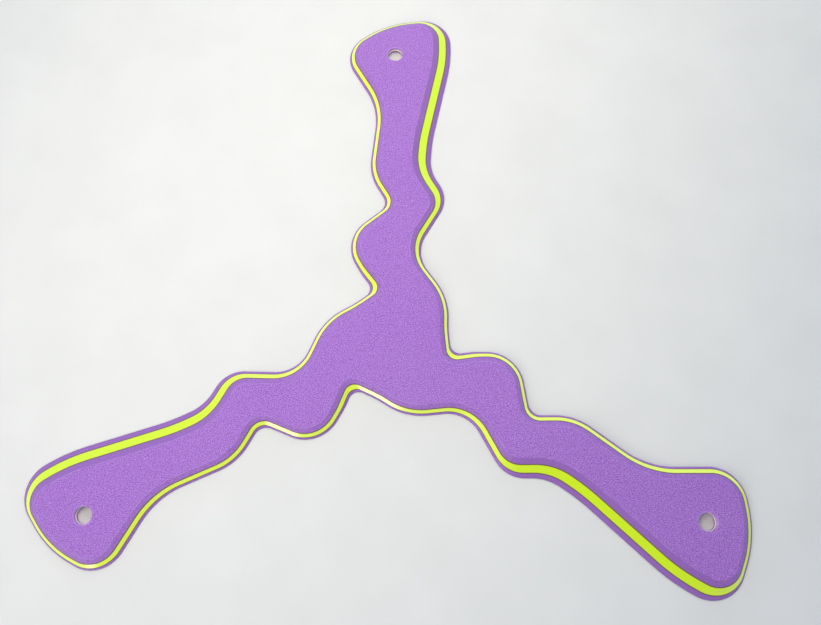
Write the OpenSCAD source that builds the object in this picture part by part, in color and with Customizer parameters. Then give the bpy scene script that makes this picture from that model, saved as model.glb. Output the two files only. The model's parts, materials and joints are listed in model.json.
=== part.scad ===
// Three-bladed boomerang, cut from one sheet of three bonded plastic layers and bevelled all
// round from the top. The narrow bevel is the leading edge of each blade and the wide bevel
// is its trailing edge. Seen from above it spins anticlockwise.
// Origin: on the flat underside, at the middle of the three blades. The first blade points
// along +Y, and the top face looks along +Z. Lengths are in millimetres.

/* [Sheet] */
// Thickness of each of the three layers
ply_t = 1; // [0.8:0.1:1.2]
// Height of the blunt rim left under the bevel
rim_h = 0.2; // [0.1:0.1:0.4]

/* [Leading edge bevel] */
// Width of the bevel on the top layer
lead_top_w = 2; // [1.8:0.1:2.4]
// Width of the bevel on the middle layer
lead_core_w = 1.5; // [1.2:0.1:1.8]
// Width of the bevel on the bottom layer
lead_base_w = 0.7; // [0.5:0.1:1.1]

/* [Trailing edge bevel] */
// Width of the bevel on the top layer
trail_top_w = 2.6; // [2.2:0.1:2.8]
// Width of the bevel on the middle layer
trail_core_w = 3.4; // [2.8:0.1:3.7]
// Width of the bevel on the bottom layer
trail_base_w = 2; // [1.4:0.1:2.2]

/* [Tip holes] */
// Diameter of the hole in each tip
hole_d = 6.5; // [5:0.5:8]
// Distance from the middle of the boomerang to each hole
hole_reach = 131; // [129:0.5:133]

/* [Smoothness] */
// Straight steps in each rounded corner
corner_steps = 6; // [4:1:10]

/* [Hidden] */
blades = 3;
blade_turn = 360 / blades;
// Least radius that the bevel's outer lines keep in an inside corner
inside_r = 5;
// How far the hole cutter runs past both faces
cut_extra = 1;
hole_sides = 48;

// Heights of the layers' faces
core_z = ply_t;
top_z = 2 * ply_t;
face_z = 3 * ply_t;

// Each height has its own outline: the seam between the top and middle layers, moved out by
// [distance on a leading edge, distance on a trailing edge]
face_out = [-lead_top_w, -trail_top_w];
seam_out = [0, 0];
core_out = [lead_core_w, trail_core_w];
rim_out = [lead_core_w + lead_base_w, trail_core_w + trail_base_w];

// Corners of the seam round the first blade, anticlockwise from the hub: x, y, the radius that
// rounds the corner, and how far the bevel on the edge after it goes from the leading width (0) to
// the trailing width (1), or past either
blade_corners = [
    [20, 6, 51, -0.1],        // hub
    [20.5, 18, 23, -0.05],    // shoulder on the trailing side
    [5.5, 38.5, 16, 0.2],     // hollow behind the elbow
    [18.5, 60, 8.5, 0.85],    // elbow
    [9.5, 75, 23, 1.05],      // neck
    [10.5, 88.5, 78, 1],      // start of the straight trailing edge
    [19.5, 129.5, 61, 1],     // end of the straight trailing edge
    [19, 149, 9, 0],          // trailing corner of the tip
    [-3.5, 146.5, 39, 0],     // crown of the tip
    [-21.5, 134, 10.5, 0.05], // leading corner of the tip
    [-5, 106, 32, 0],         // neck on the leading side
    [-8.5, 74, 20, 0],        // bulge below the neck
    [0.5, 59, 6, -0.05],      // hollow in front of the elbow
    [-19, 43.5, 12, 0],       // shoulder on the leading side
    [-12, 31.5, 25, 0.1],     // run into the notch
    [-4.5, 22, 4, -0.1],      // notch between two blades
];
blade_n = len(blade_corners);

function turned(p, a) = [p[0] * cos(a) - p[1] * sin(a), p[0] * sin(a) + p[1] * cos(a)];
function left_of(d) = [-d[1], d[0]];

// The corner list goes round three times, once for each blade
corner_n = blades * blade_n;
function row(i) = blade_corners[(i + corner_n) % blade_n];
function blade_of(i) = floor(((i + corner_n) % corner_n) / blade_n);
function corner_xy(i) = turned([row(i)[0], row(i)[1]], blade_of(i) * blade_turn);

// Direction of the edge after corner i, and how far that edge is moved out
function edge_dir(i) = let (v = corner_xy(i + 1) - corner_xy(i)) v / norm(v);
function edge_out(i, out) = out[0] + (out[1] - out[0]) * row(i)[3];

// Outside corners grow as the outline moves out, and inside corners shrink to inside_r
function moved_radius(r, out, turn) = turn > 0 ? r + out : max(r - out, min(r, inside_r));

// The arc that rounds corner i, where its two edges are moved out by their own distances
function corner_arc(i, out) =
    let (
        before = edge_dir(i - 1),
        after = edge_dir(i),
        turn = atan2(cross(before, after), before * after),
        out_before = edge_out(i - 1, out),
        out_after = edge_out(i, out),
        corner = corner_xy(i) + (out_after * before - out_before * after) / sin(turn),
        r = moved_radius(row(i)[2], (out_before + out_after) / 2, turn),
        start = corner - before * r * tan(abs(turn) / 2),
        centre = start + left_of(before) * r * sign(turn)
    )
    [for (q = [0:corner_steps]) centre + turned(start - centre, turn * q / corner_steps)];

function outline(out) = [for (i = [0:corner_n - 1]) each corner_arc(i, out)];

// A blade's points run from the last one of the notch before it to the last one of its own notch
blade_pts = blade_n * (corner_steps + 1);
outline_pts = blades * blade_pts;
function blade_point(i) = (i - 1 + outline_pts) % outline_pts;

// Both sides of a blade climb steadily to its highest point, so a zigzag of triangles between
// them closes it: i climbs the trailing side and j climbs the leading side
function highest(p, i = 0, best = 0) =
    i == len(p) ? best : highest(p, i + 1, p[i][1] > p[best][1] ? i : best);
function zigzag(p, top, i, j) =
    i == top && j == top + 1 ? []
    : j == top + 1 || (i < top && p[i + 1][1] < p[j - 1][1])
        ? concat([[i, i + 1, j]], zigzag(p, top, i + 1, j))
        : concat([[i, j - 1, j]], zigzag(p, top, i, j - 1));

// Triangles that close the whole outline: three blades and the middle
function closing(points) =
    let (
        blade = [for (i = [0:blade_pts]) points[blade_point(i)]],
        triangles = zigzag(blade, highest(blade), 0, blade_pts)
    )
    concat(
        [for (k = [0:blades - 1]) for (t = triangles) [for (i = t) blade_point(i + k * blade_pts)]],
        [[for (k = [0:blades - 1]) blade_point(k * blade_pts)]]
    );

function shifted(faces, by) = [for (f = faces) [for (i = f) i + by]];
function flipped(faces) = [for (f = faces) [f[0], f[2], f[1]]];

// Two triangles for each step of the band between two outlines, the lower starting at point b
function band(b) =
    [
        for (i = [0:outline_pts - 1])
            let (next = (i + 1) % outline_pts)
            each [
                [b + i, b + outline_pts + i, b + next],
                [b + next, b + outline_pts + i, b + outline_pts + next]
            ]
    ];

// A layer between outlines at rising heights, given as [height, out]
module layer(levels)
{
    rings = [for (level = levels) outline(level[1])];
    last = len(levels) - 1;
    polyhedron(
        points = [for (k = [0:last]) for (p = rings[k]) [p[0], p[1], levels[k][0]]],
        faces = concat(
            closing(rings[0]),
            [for (k = [0:last - 1]) each band(k * outline_pts)],
            shifted(flipped(closing(rings[last])), last * outline_pts)
        )
    );
}

module tip_holes()
{
    for (k = [0:blades - 1])
        rotate([0, 0, k * blade_turn])
            translate([0, hole_reach, -cut_extra])
                cylinder(h = face_z + 2 * cut_extra, d = hole_d, $fn = hole_sides);
}

module top_ply()
{
    color("#B07ED4")
        difference()
        {
            layer([[top_z, seam_out], [face_z, face_out]]);
            tip_holes();
        }
}

module core_ply()
{
    color("#DDF74E")
        difference()
        {
            layer([[core_z, core_out], [top_z, seam_out]]);
            tip_holes();
        }
}

module bottom_ply()
{
    color("#9A6CC4")
        difference()
        {
            layer([[0, rim_out], [rim_h, rim_out], [core_z, core_out]]);
            tip_holes();
        }
}

top_ply();
core_ply();
bottom_ply();
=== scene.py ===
"""The looks of a three-bladed boomerang, cut from one sheet of three bonded plastic layers.

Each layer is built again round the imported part, with the same outline but with fine arcs, softened
bevel crests, hairline grooves where the layers meet and eased lips on the tip holes. Outlines are
worked out in millimetres, and everything in the scene is in metres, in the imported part's frame.
"""
import cmath
import json
import math
from collections import namedtuple

import bpy
from mathutils import Euler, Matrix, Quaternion, Vector
from mathutils.geometry import tessellate_polygon


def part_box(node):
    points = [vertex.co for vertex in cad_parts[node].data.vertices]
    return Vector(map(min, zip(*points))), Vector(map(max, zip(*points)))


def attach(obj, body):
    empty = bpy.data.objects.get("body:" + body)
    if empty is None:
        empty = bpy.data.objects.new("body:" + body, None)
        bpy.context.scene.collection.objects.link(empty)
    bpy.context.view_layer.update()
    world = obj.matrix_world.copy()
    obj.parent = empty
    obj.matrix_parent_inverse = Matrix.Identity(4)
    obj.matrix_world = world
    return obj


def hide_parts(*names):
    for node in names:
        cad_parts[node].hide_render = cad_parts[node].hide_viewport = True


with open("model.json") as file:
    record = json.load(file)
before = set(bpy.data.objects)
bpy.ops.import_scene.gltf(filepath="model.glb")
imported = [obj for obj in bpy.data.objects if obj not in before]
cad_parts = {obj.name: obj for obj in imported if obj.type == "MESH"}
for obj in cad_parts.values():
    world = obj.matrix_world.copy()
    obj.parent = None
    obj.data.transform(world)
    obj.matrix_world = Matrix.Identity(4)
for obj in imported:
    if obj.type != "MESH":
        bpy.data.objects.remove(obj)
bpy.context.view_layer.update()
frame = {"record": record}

MM = 0.001

# Heights of the layers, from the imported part
BOTTOM_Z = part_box("bottom_ply")[0].z / MM
CORE_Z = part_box("core_ply")[0].z / MM
TOP_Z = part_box("top_ply")[0].z / MM
FACE_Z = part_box("top_ply")[1].z / MM

# Height of the blunt rim left under the bevel
RIM_HEIGHT = 0.2
RIM_Z = BOTTOM_Z + RIM_HEIGHT

# How far each height's outline lies outside the seam between the top and middle layers:
# on a leading edge, and on a trailing edge
FACE_OUT = (-2.0, -2.6)
SEAM_OUT = (0.0, 0.0)
CORE_OUT = (1.5, 3.4)
RIM_OUT = (2.2, 5.4)

# Corners of that seam round the first blade, anticlockwise from the hub: x, y, the radius that
# rounds the corner, and how far the bevel on the edge after it goes from the leading width (0) to
# the trailing width (1), or past either
BLADE_CORNERS = (
    (20, 6, 51, -0.1),         # hub
    (20.5, 18, 23, -0.05),     # shoulder on the trailing side
    (5.5, 38.5, 16, 0.2),      # hollow behind the elbow
    (18.5, 60, 8.5, 0.85),     # elbow
    (9.5, 75, 23, 1.05),       # neck
    (10.5, 88.5, 78, 1),       # start of the straight trailing edge
    (19.5, 129.5, 61, 1),      # end of the straight trailing edge
    (19, 149, 9, 0),           # trailing corner of the tip
    (-3.5, 146.5, 39, 0),      # crown of the tip
    (-21.5, 134, 10.5, 0.05),  # leading corner of the tip
    (-5, 106, 32, 0),          # neck on the leading side
    (-8.5, 74, 20, 0),         # bulge below the neck
    (0.5, 59, 6, -0.05),       # hollow in front of the elbow
    (-19, 43.5, 12, 0),        # shoulder on the leading side
    (-12, 31.5, 25, 0.1),      # run into the notch
    (-4.5, 22, 4, -0.1),       # notch between two blades
)
BLADES = 3
CORNER_COUNT = BLADES * len(BLADE_CORNERS)
INSIDE_R = 5.0                   # least radius that the outer lines keep in an inside corner
ARC_STEP = math.radians(2.5)     # largest turn of one step of an arc
MIN_ARC_STEPS = 4                # fewest steps of an arc
STRAIGHT_STEP = 3.0              # longest step along a straight edge of the seam
HOLE_STEPS = 96                  # steps round a tip hole

# Names of what the materials read from the meshes
# The first mark paints crests, rims and lips pale: partly wear, partly a painted highlight
WEAR_AND_HIGHLIGHT = "wear"                         # 1 on crests, rims and lips, 0 elsewhere
SEAM = "seam"                         # 1 where two layers meet, 0 away from it
CUT = "cut"                           # 0 on the sheet's own faces, up to 1 where it has been cut
EDGE_MAP = "edge_map"                 # metres along the edge, and metres down its profile

# What a corner of a layer's profile looks like: how far its rounding reaches to each side, how much
# further its mark fades out, and which mark that is
Corner = namedtuple("Corner", "ease fade mark")
CREST = Corner(0.35, 0.0, WEAR_AND_HIGHLIGHT)          # where the bevel meets the face
GROOVE = Corner(0.05, 0.46, SEAM)        # where the top layer meets the middle one
LOW_GROOVE = Corner(0.05, 0.45, SEAM)    # where the middle layer meets the bottom one
HOLE_GROOVE = Corner(0.03, 0.04, SEAM)   # where layers meet inside a tip hole
RIM = Corner(0.09, 0.20, WEAR_AND_HIGHLIGHT)           # either side of the blunt rim
LIP = Corner(0.20, 0.70, WEAR_AND_HIGHLIGHT)           # at the mouths of the tip holes
EASE_STEPS = 4                           # steps of each rounding
FLAT_STRIP = 1.2                         # flat strip kept beside each profile
LEAD_CUT = 0.5                           # how cut a leading bevel looks, where a trailing one is 1
HOLE_CUT = 0.0                           # and the wall of a tip hole, which is drilled
SHARP_ANGLE = math.radians(35)           # edges that turn more than this are shaded sharp


# ---- the outline ----

def corner_row(i):
    return BLADE_CORNERS[i % len(BLADE_CORNERS)]


def corner_point(i):
    x, y = corner_row(i)[:2]
    blade = (i % CORNER_COUNT) // len(BLADE_CORNERS)
    return complex(x, y) * cmath.rect(1, blade * math.tau / BLADES)


def edge_direction(i):
    """Direction of the edge after corner i."""
    edge = corner_point(i + 1) - corner_point(i)
    return edge / abs(edge)


def edge_out(i, out):
    """How far the edge after corner i is moved out."""
    lead, trail = out
    return lead + (trail - lead) * corner_row(i)[3]


def corner_arc(i, out):
    """The arc that rounds corner i where its two edges are moved out by their own distances."""
    before, after = edge_direction(i - 1), edge_direction(i)
    turn = cmath.phase(after / before)
    out_before, out_after = edge_out(i - 1, out), edge_out(i, out)
    corner = corner_point(i) + (out_after * before - out_before * after) / math.sin(turn)
    radius, moved = corner_row(i)[2], (out_before + out_after) / 2
    radius = radius + moved if turn > 0 else max(radius - moved, min(radius, INSIDE_R))
    start = corner - before * radius * math.tan(abs(turn) / 2)
    centre = start + before * 1j * math.copysign(radius, turn)
    steps = max(MIN_ARC_STEPS, math.ceil(abs(turn) / ARC_STEP))
    return [centre + (start - centre) * cmath.rect(1, turn * q / steps) for q in range(steps + 1)]


def straight_steps():
    """How many steps each straight edge of the seam takes, so that all the outlines match."""
    arcs = [corner_arc(i, SEAM_OUT) for i in range(CORNER_COUNT)]
    gaps = [abs(arcs[(i + 1) % CORNER_COUNT][0] - arcs[i][-1]) for i in range(CORNER_COUNT)]
    return [max(1, math.ceil(gap / STRAIGHT_STEP)) for gap in gaps]


STRAIGHTS = straight_steps()


def outline(out):
    """The whole outline, moved out by (leading, trailing): each arc, then the straight after it."""
    arcs = [corner_arc(i, out) for i in range(CORNER_COUNT)]
    points = []
    for i, arc in enumerate(arcs):
        points += arc
        gap = arcs[(i + 1) % CORNER_COUNT][0] - arc[-1]
        points += [arc[-1] + gap * q / STRAIGHTS[i] for q in range(1, STRAIGHTS[i])]
    return points


def edge_depths():
    """How cut the edge looks at each point of an outline: about LEAD_CUT on leading edges and 1 on
    trailing ones."""
    shares = []
    for i in range(CORNER_COUNT):
        steps = len(corner_arc(i, SEAM_OUT)) - 1
        before, after = corner_row(i - 1)[3], corner_row(i)[3]
        shares += [before + (after - before) * q / steps for q in range(steps + 1)]
        shares += [after] * (STRAIGHTS[i] - 1)
    return [LEAD_CUT + (1 - LEAD_CUT) * min(share, 1) for share in shares]


def circle(centre, radius):
    return [centre + cmath.rect(radius, math.tau * q / HOLE_STEPS) for q in range(HOLE_STEPS)]


# ---- profiles: how a layer's edge runs from its upper face round to its lower face ----

# A place is (leading out, trailing out, height) on an edge and (radius, 0, height) in a hole
Station = namedtuple("Station", "place wear seam cut")


def towards(start, end, distance):
    return start + (end - start).normalized() * distance


def station(place, mark, strength, cut):
    wear, seam = (strength, 0) if mark == WEAR_AND_HIGHLIGHT else (0, strength)
    return Station(place, wear, seam, cut)


def rounded(before, place, after, corner, cut_before, cut_after):
    """Stations round one corner of a profile."""
    first, last = towards(place, before, corner.ease), towards(place, after, corner.ease)
    stations = []
    for q in range(EASE_STEPS + 1):
        t = q / EASE_STEPS
        middle = first * (1 - t) ** 2 + place * 2 * t * (1 - t) + last * t ** 2
        strength = 1 if corner.fade else 1 - abs(2 * t - 1)
        cut = cut_before + (cut_after - cut_before) * t
        stations.append(station(middle, corner.mark, strength, cut))
    if corner.fade:
        reach = corner.ease + corner.fade
        stations.insert(0, station(towards(place, before, reach), corner.mark, 0, cut_before))
        stations.append(station(towards(place, after, reach), corner.mark, 0, cut_after))
    return stations


def profile(places, corners, inward):
    """Stations through the places, with a flat strip at each end that runs inward from the edge."""
    strip = inward * FLAT_STRIP
    places = [places[0] + strip, *places, places[-1] + strip]
    stations = [Station(places[0], 0, 0, 0)]
    for k, corner in enumerate(corners, start=1):
        cut_before, cut_after = (0 if k == 1 else 1), (0 if k == len(corners) else 1)
        stations += rounded(*places[k - 1:k + 2], corner, cut_before, cut_after)
    return [*stations, Station(places[-1], 0, 0, 0)]


# ---- meshes ----

def add_object(name, data):
    made = bpy.data.objects.new(name, data)
    bpy.context.scene.collection.objects.link(made)
    return made


class Shell:
    """A closed mesh being built: its points with their marks, and its faces with their edge map."""

    def __init__(self):
        self.points, self.faces, self.uvs = [], [], []
        self.marks = {WEAR_AND_HIGHLIGHT: [], SEAM: [], CUT: []}

    def ring(self, flat_points, stop, depths):
        """Adds one closed ring of points at a station, and gives their numbers."""
        first = len(self.points)
        self.points += [(p.real * MM, p.imag * MM, stop.place.z * MM) for p in flat_points]
        self.marks[WEAR_AND_HIGHLIGHT] += [stop.wear] * len(flat_points)
        self.marks[SEAM] += [stop.seam] * len(flat_points)
        self.marks[CUT] += [stop.cut * depth for depth in depths]
        return list(range(first, len(self.points)))

    def face(self, corners, uvs):
        self.faces.append(corners)
        self.uvs.append(uvs)

    def band(self, upper, lower, along, across, hole):
        """Joins two rings with four-sided faces that look outward, or into the hole on its wall."""
        count = len(upper)
        for i in range(count):
            j = (i + 1) % count
            corners = (upper[i], lower[i], lower[j], upper[j])
            u, v = (along[i], along[i + 1]), across
            uvs = ((u[0], v[0]), (u[0], v[1]), (u[1], v[1]), (u[1], v[0]))
            if hole:
                corners, uvs = corners[::-1], uvs[::-1]
            self.face(corners, uvs)

    def walls(self, stations, ring_of, depths, hole=False):
        """Sweeps a profile round an outline or a hole, and gives its first and last rings."""
        middle = ring_of(stations[len(stations) // 2].place)
        along = distances(middle + middle[:1])
        across = distances([stop.place for stop in stations])
        rings = [self.ring(ring_of(stop.place), stop, depths) for stop in stations]
        for k in range(len(rings) - 1):
            self.band(rings[k], rings[k + 1], along, across[k:k + 2], hole)
        return rings[0], rings[-1]

    def cap(self, rings, up):
        """Closes a flat face between its outer ring and the rings of its holes."""
        numbers = [n for ring in rings for n in ring]
        loops = [[Vector(self.points[n]) / MM for n in ring] for ring in rings]
        for triangle in tessellate_polygon(loops):
            corners = tuple(numbers[k] for k in (triangle if up else triangle[::-1]))
            self.face(corners, tuple(self.points[n][:2] for n in corners))

    def piece(self, name, material):
        mesh = bpy.data.meshes.new(name)
        mesh.from_pydata(self.points, [], self.faces)
        mesh.materials.append(material)
        mesh.shade_smooth()
        mesh.set_sharp_from_angle(angle=SHARP_ANGLE)
        edge_map = mesh.uv_layers.new(name=EDGE_MAP)
        edge_map.data.foreach_set("uv", [n for uvs in self.uvs for uv in uvs for n in uv])
        for mark, values in self.marks.items():
            mesh.attributes.new(mark, "FLOAT", "POINT").data.foreach_set("value", values)
        mesh.validate()
        return add_object(name, mesh)


def distances(points):
    """Running length, in metres, along a list of points in millimetres."""
    total, out = 0.0, [0.0]
    for a, b in zip(points, points[1:]):
        step = b - a
        total += (abs(step) if isinstance(step, complex) else step.length) * MM
        out.append(total)
    return out


def build_layer(name, node, levels, edge_corners, lips, material):
    """Builds one layer, from its upper face down to its lower face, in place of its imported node."""
    shell = Shell()
    places = [Vector((*out, z)) for out, z in levels]
    edge = profile(places, edge_corners, Vector((-1, -1, 0)))
    caps = [shell.walls(edge, lambda place: outline(place[:2]), edge_depths())]
    for centre, radius in tip_holes():
        places = [Vector((radius, 0, z)) for z in (levels[0][1], levels[-1][1])]
        wall = profile(places, lips, Vector((1, 0, 0)))
        caps.append(shell.walls(
            wall, lambda place, c=centre: circle(c, place.x), [HOLE_CUT] * HOLE_STEPS, hole=True,
        ))
    shell.cap([high for high, low in caps], True)
    shell.cap([low for high, low in caps], False)
    made = shell.piece(name, material)
    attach(made, "root")
    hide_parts(node)


def tip_holes():
    """Centre and radius of each tip hole, in millimetres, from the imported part's mounts."""
    bores = [m for m in frame["record"]["mounts"] if m["kind"] == "bore"]
    return [(complex(*m["pos_m"][:2]) / MM, m["dims"]["r_mm"]) for m in bores]


# ---- materials ----

NOISE_LOW, NOISE_MIDDLE, NOISE_HIGH = 0.3, 0.5, 0.7   # where nearly all of a noise's values lie
MIX_A, MIX_B, MIX_RESULT = 6, 7, 2                    # numbers of the mix node's colour sockets


class Look:
    """A Principled material being built."""

    def __init__(self, name, **sockets):
        self.material = bpy.data.materials.new(name)
        self.material.use_nodes = True
        self.tree = self.material.node_tree
        self.shader = self.tree.nodes["Principled BSDF"]
        for socket, value in sockets.items():
            self.shader.inputs[socket.replace("_", " ")].default_value = value
        self.place = self.add("ShaderNodeTexCoord").outputs["Object"]

    def add(self, kind, inputs=None, **settings):
        node = self.tree.nodes.new(kind)
        for key, value in settings.items():
            setattr(node, key, value)
        for key, value in (inputs or {}).items():
            self.feed(node.inputs[key], value)
        return node

    def feed(self, socket, value):
        """Gives a socket another socket's value, or a plain number or colour."""
        if isinstance(value, bpy.types.NodeSocket):
            self.tree.links.new(value, socket)
        elif isinstance(value, tuple) and socket.type == "RGBA":
            socket.default_value = (*value, 1)
        else:
            socket.default_value = value

    def noise(self, vector, scale, detail=2.0):
        inputs = {"Vector": vector, "Scale": scale, "Detail": detail}
        return self.add("ShaderNodeTexNoise", inputs).outputs["Fac"]

    def spread(self, value, from_low, from_high, to_low, to_high):
        """Maps a range of a value onto another range, without going past its ends."""
        inputs = {0: value, 1: from_low, 2: from_high, 3: to_low, 4: to_high}
        return self.add("ShaderNodeMapRange", inputs).outputs[0]

    def swing(self, noise, low, high):
        """Goes from low to high as a noise goes from its low values to its high ones."""
        return self.spread(noise, NOISE_LOW, NOISE_HIGH, low, high)

    def times(self, a, b):
        return self.add("ShaderNodeMath", {0: a, 1: b}, operation="MULTIPLY").outputs[0]

    def blend(self, factor, a, b):
        """Goes from colour a to colour b."""
        node = self.add("ShaderNodeMix", {0: factor, MIX_A: a, MIX_B: b}, data_type="RGBA")
        return node.outputs[MIX_RESULT]

    def tones(self, noise, colour, low, high):
        """A colour that a noise makes darker and lighter, between two multiples of it."""
        return self.blend(self.swing(noise, 0, 1), scaled(colour, low), scaled(colour, high))

    def edge_place(self, along, across):
        """The edge map, stretched by its own scale along the edge and across it."""
        uv = self.add("ShaderNodeUVMap", uv_map=EDGE_MAP).outputs["UV"]
        inputs = {"Vector": uv, "Scale": (along, across, 1)}
        return self.add("ShaderNodeMapping", inputs).outputs["Vector"]

    def mark(self, name):
        return self.add("ShaderNodeAttribute", attribute_name=name).outputs["Fac"]

    def colour(self, value):
        self.feed(self.shader.inputs["Base Color"], value)

    def rough(self, value):
        self.feed(self.shader.inputs["Roughness"], value)

    def bump(self, height, distance, strength):
        inputs = {"Height": height, "Distance": distance, "Strength": strength}
        normal = self.add("ShaderNodeBump", inputs).outputs["Normal"]
        self.feed(self.shader.inputs["Normal"], normal)


def scaled(colour, factor):
    return tuple(min(1, channel * factor) for channel in colour)


PURPLE = (0.367, 0.160, 0.585)
PURPLE_DARK_GRAIN = (0.180, 0.026, 0.325)
PURPLE_LIGHT_GRAIN = (0.554, 0.294, 0.815)
PURPLE_CUT = (0.285, 0.120, 0.450)
# Pale purple for flecks and clouds, and for crests, rims and lips: partly wear, partly a painted
# highlight
PURPLE_PALE = (0.56, 0.38, 0.74)
LIME = (0.68, 0.93, 0.008)
# Paler lime: a painted sheen on leading bevels, and random pale patches
LIME_PALE_AND_SHEEN = (0.78, 0.93, 0.06)
# Cream: painted light on the drilled walls of the tip holes
LIME_DRILLED_PAINTED_LIGHT = (1.0, 0.97, 0.68)
SEAM_BROWN = (0.16, 0.085, 0.065)

# Scales of the noises, in cells to a metre
GRAIN_SCALE = 2700
FLECK_SCALE = 1300
PATCH_SCALE = 240
CLOUD_SCALE = 28
CUTTER_STRETCH = (60, 5000)      # along the edge, and across it

# Noise values where a fleck starts to show and where it shows fully
PALE_FLECKS = (0.74, 0.84)
DARK_FLECKS = (0.26, 0.18)

# Noise values between the faintest patches and the strongest ones, and how much of the pale mark they
# show: partly wear, partly a painted highlight
WEAR_AND_HIGHLIGHT_PATCHES = (0.35, 0.65)
WEAR_AND_HIGHLIGHT_SHARES = (0.045, 0.45)

# Values of the seam mark where the dark line starts and where it is full: on a leading bevel, and
# on a trailing one
SEAM_START = (0.08, 0.3)
SEAM_FULL = (0.45, 0.85)

# How much of the second colour shows at most
FLECK_SHARE = 0.4
CUT_GRAIN_SHARE = 0.5
CLOUD_SHARE = 0.05
SEAM_SHARE = 0.95
LIME_LINE_SHARE = 0.06
LIME_PATCH_SHARE = 0.10

# Multiples of a colour
DARK_FLECK_TONE = 0.5
DARK_CUT_TONE = 0.7
CUT_LINE_TONES = (0.95, 1.05)
LIME_LINE_TONE = 0.8

FACE_ROUGHNESS = 0.75
CUT_ROUGHNESS = 0.5
LIME_ROUGHNESS = (0.26, 0.20)

FLOOR_COLOUR = (0.78, 0.77, 0.75)
FLOOR_SCALE = 40
FLOOR_TONES = (0.98, 1.02)

# Depth in metres, and strength
GRAIN_BUMP = (0.00003, 0.6)
LIME_BUMP = (0.00001, 0.3)


def wear_and_highlight_patches(look):
    """Where the pale mark on crests, rims and lips shows, partly wear and partly a painted highlight:
    much of the mark in some patches, and little of it in others.
    """
    patches = look.spread(look.noise(look.place, PATCH_SCALE), *WEAR_AND_HIGHLIGHT_PATCHES, *WEAR_AND_HIGHLIGHT_SHARES)
    return look.times(look.mark(WEAR_AND_HIGHLIGHT), patches)


def seam_line(look, cut):
    """How strongly the dark line between two layers shows. It is wider on the leading bevels."""
    start = look.spread(cut, LEAD_CUT, 1, *SEAM_START)
    full = look.spread(cut, LEAD_CUT, 1, *SEAM_FULL)
    return look.spread(look.mark(SEAM), start, full, 0, SEAM_SHARE)


def purple_plastic():
    """The outer layers: matt and finely grained, darker and smoother where they are cut."""
    look = Look("purple_plastic", Specular_IOR_Level=0.35, Sheen_Weight=0.15, Sheen_Roughness=0.4)
    grain = look.noise(look.place, GRAIN_SCALE, detail=3)
    flecks = look.noise(look.place, FLECK_SCALE, detail=0)
    clouds = look.noise(look.place, CLOUD_SCALE)
    lines = look.noise(look.edge_place(*CUTTER_STRETCH), 1)
    cut = look.mark(CUT)

    face = look.blend(look.swing(grain, 0, 1), PURPLE_DARK_GRAIN, PURPLE_LIGHT_GRAIN)
    face = look.blend(look.spread(flecks, *PALE_FLECKS, 0, FLECK_SHARE), face, PURPLE_PALE)
    dark_fleck = look.spread(flecks, *DARK_FLECKS, 0, FLECK_SHARE)
    face = look.blend(dark_fleck, face, scaled(PURPLE, DARK_FLECK_TONE))
    skin = look.tones(lines, PURPLE_CUT, *CUT_LINE_TONES)
    light_grain = look.spread(grain, NOISE_MIDDLE, NOISE_HIGH, 0, CUT_GRAIN_SHARE)
    skin = look.blend(light_grain, skin, PURPLE)
    dark_grain = look.spread(grain, NOISE_MIDDLE, NOISE_LOW, 0, CUT_GRAIN_SHARE)
    skin = look.blend(dark_grain, skin, scaled(PURPLE_CUT, DARK_CUT_TONE))
    base = look.blend(cut, face, skin)
    base = look.blend(look.swing(clouds, 0, CLOUD_SHARE), base, PURPLE_PALE)
    # Pale crests, rims and lips: partly wear, partly a painted highlight
    base = look.blend(wear_and_highlight_patches(look), base, PURPLE_PALE)
    base = look.blend(seam_line(look, cut), base, SEAM_BROWN)
    look.colour(base)
    look.rough(look.spread(cut, 0, 1, FACE_ROUGHNESS, CUT_ROUGHNESS))
    look.bump(grain, *GRAIN_BUMP)
    return look.material


def lime_plastic():
    """The bright middle layer: smooth and glossy, with a painted pale sheen on leading bevels and
    painted cream light on the drilled walls of the tip holes.
    """
    look = Look("lime_plastic", Specular_IOR_Level=1.0, Sheen_Weight=0.4, Sheen_Roughness=0.4)
    lines = look.noise(look.edge_place(*CUTTER_STRETCH), 1)
    patches = look.noise(look.place, PATCH_SCALE)
    cut = look.mark(CUT)
    # Painted light on the cut lime: cream on the hole walls, a pale sheen on leading bevels, plain
    # lime on trailing ones
    base = look.blend(look.spread(cut, 0, LEAD_CUT, 0, 1), LIME_DRILLED_PAINTED_LIGHT, LIME_PALE_AND_SHEEN)
    base = look.blend(look.spread(cut, LEAD_CUT, 1, 0, 1), base, LIME)
    base = look.blend(look.swing(lines, 0, LIME_LINE_SHARE), base, scaled(LIME, LIME_LINE_TONE))
    base = look.blend(look.swing(patches, 0, LIME_PATCH_SHARE), base, LIME_PALE_AND_SHEEN)
    base = look.blend(seam_line(look, cut), base, SEAM_BROWN)
    look.colour(base)
    look.rough(look.swing(lines, *LIME_ROUGHNESS))
    look.bump(lines, *LIME_BUMP)
    return look.material


def pale_floor():
    look = Look("pale_floor", Roughness=0.8)
    grain = look.noise(look.place, FLOOR_SCALE)
    look.colour(look.tones(grain, FLOOR_COLOUR, *FLOOR_TONES))
    return look.material


# ---- the layers ----

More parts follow.
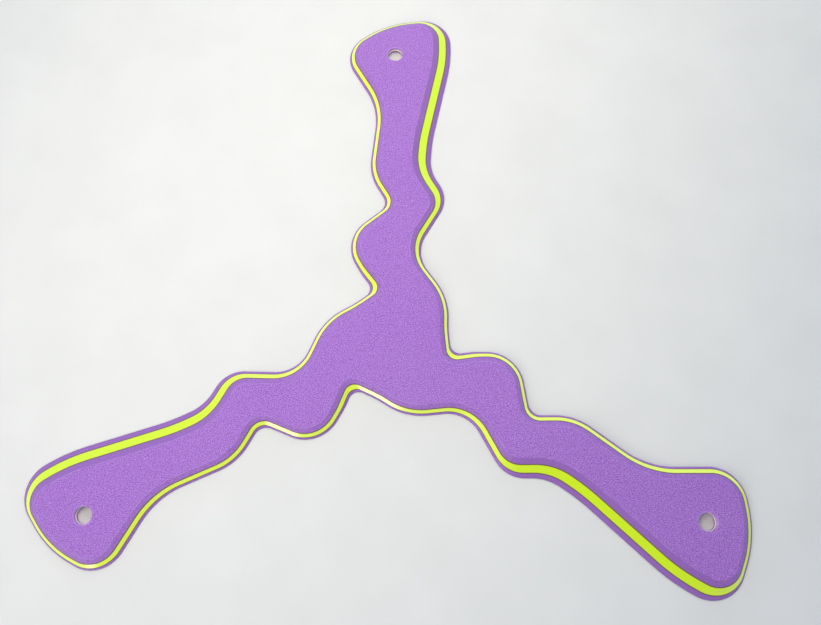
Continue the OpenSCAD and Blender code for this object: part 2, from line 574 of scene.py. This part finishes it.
def add_layers():
    purple, lime = purple_plastic(), lime_plastic()
    build_layer(
        "top_layer", "top_ply",
        [(FACE_OUT, FACE_Z), (SEAM_OUT, TOP_Z)], [CREST, GROOVE], [LIP, HOLE_GROOVE], purple,
    )
    build_layer(
        "middle_layer", "core_ply",
        [(SEAM_OUT, TOP_Z), (CORE_OUT, CORE_Z)], [GROOVE, LOW_GROOVE], [HOLE_GROOVE] * 2, lime,
    )
    build_layer(
        "bottom_layer", "bottom_ply",
        [(CORE_OUT, CORE_Z), (RIM_OUT, RIM_Z), (RIM_OUT, BOTTOM_Z)],
        [LOW_GROOVE, RIM, RIM], [HOLE_GROOVE, LIP], purple,
    )


# ---- stage, light and camera ----

FLOOR_HALF = 12                              # half the floor's side

Softbox = namedtuple("Softbox", "place size power colour")
KEY = Softbox((-0.028, 0.142, 0.295), (0.5, 0.2), 0.87, (1, 0.96, 0.82))
KEY_TURN = math.radians(60)                  # round the vertical
FRONT = Softbox((-0.56, -0.67, 0.375), (0.55, 0.24), 3.4, (1, 0.97, 0.9))
FRONT_TURN = math.radians(-18)               # round its own beam

SKY_COLOUR = (0.71, 0.80, 0.97, 1)
SKY_NEAR, SKY_FAR = 0.98, 2.44               # strength at the horizon on the near and far sides

CAMERA_PLACE = (0.00635, -0.05216, 0.23635)
CAMERA_TURN = (14.726, 1.480, 0.503)         # degrees about X, Y and Z
SENSOR_WIDTH, LENS = 36.0, 26.9              # in millimetres
LENS_SHIFT = (0.0221, 0.0088)                # in widths of the picture
NEAR_CLIP = 0.01


def add_floor():
    half, z = FLOOR_HALF, BOTTOM_Z * MM
    mesh = bpy.data.meshes.new("floor")
    square = [(-half, -half, z), (half, -half, z), (half, half, z), (-half, half, z)]
    mesh.from_pydata(square, [], [(0, 1, 2, 3)])
    mesh.materials.append(pale_floor())
    floor = add_object("floor", mesh)


def add_softbox(name, softbox, rotation):
    light = bpy.data.lights.new(name, "AREA")
    light.shape = "RECTANGLE"
    light.size, light.size_y = softbox.size
    light.energy, light.color = softbox.power, softbox.colour
    lamp = add_object(name, light)
    lamp.location = softbox.place
    lamp.rotation_euler = rotation


def add_softboxes():
    """A long softbox above the first two blades, and a low one for the glints."""
    add_softbox("key", KEY, (0, 0, KEY_TURN))
    facing = Vector(FRONT.place).to_track_quat("Z", "Y")
    facing @= Quaternion((0, 0, 1), FRONT_TURN)
    add_softbox("front", FRONT, facing.to_euler())


def add_sky():
    """A pale sky that is brightest low down on the far side, and fades to nothing straight above."""
    world = bpy.data.worlds.new("studio")
    world.use_nodes = True
    nodes, links = world.node_tree.nodes, world.node_tree.links
    background = nodes["Background"]
    background.inputs["Color"].default_value = SKY_COLOUR
    sides = nodes.new("ShaderNodeSeparateXYZ")
    links.new(nodes.new("ShaderNodeTexCoord").outputs["Generated"], sides.inputs[0])
    strength = nodes.new("ShaderNodeMapRange")
    for socket, value in enumerate((-1, 1, SKY_NEAR, SKY_FAR), start=1):
        strength.inputs[socket].default_value = value
    links.new(sides.outputs["Y"], strength.inputs[0])
    lowness = nodes.new("ShaderNodeMath")
    lowness.operation = "SUBTRACT"
    lowness.inputs[0].default_value = 1
    links.new(sides.outputs["Z"], lowness.inputs[1])
    product = nodes.new("ShaderNodeMath")
    product.operation = "MULTIPLY"
    links.new(strength.outputs[0], product.inputs[0])
    links.new(lowness.outputs[0], product.inputs[1])
    links.new(product.outputs[0], background.inputs["Strength"])
    bpy.context.scene.world = world


def add_camera():
    data = bpy.data.cameras.new("camera")
    data.sensor_width, data.lens = SENSOR_WIDTH, LENS
    data.shift_x, data.shift_y = LENS_SHIFT
    data.clip_start = NEAR_CLIP
    camera = add_object("camera", data)
    camera.location = CAMERA_PLACE
    camera.rotation_euler = Euler([math.radians(angle) for angle in CAMERA_TURN])
    bpy.context.scene.camera = camera
    bpy.context.scene.view_settings.view_transform = "Standard"


add_layers()
add_floor()
add_softboxes()
add_sky()
add_camera()
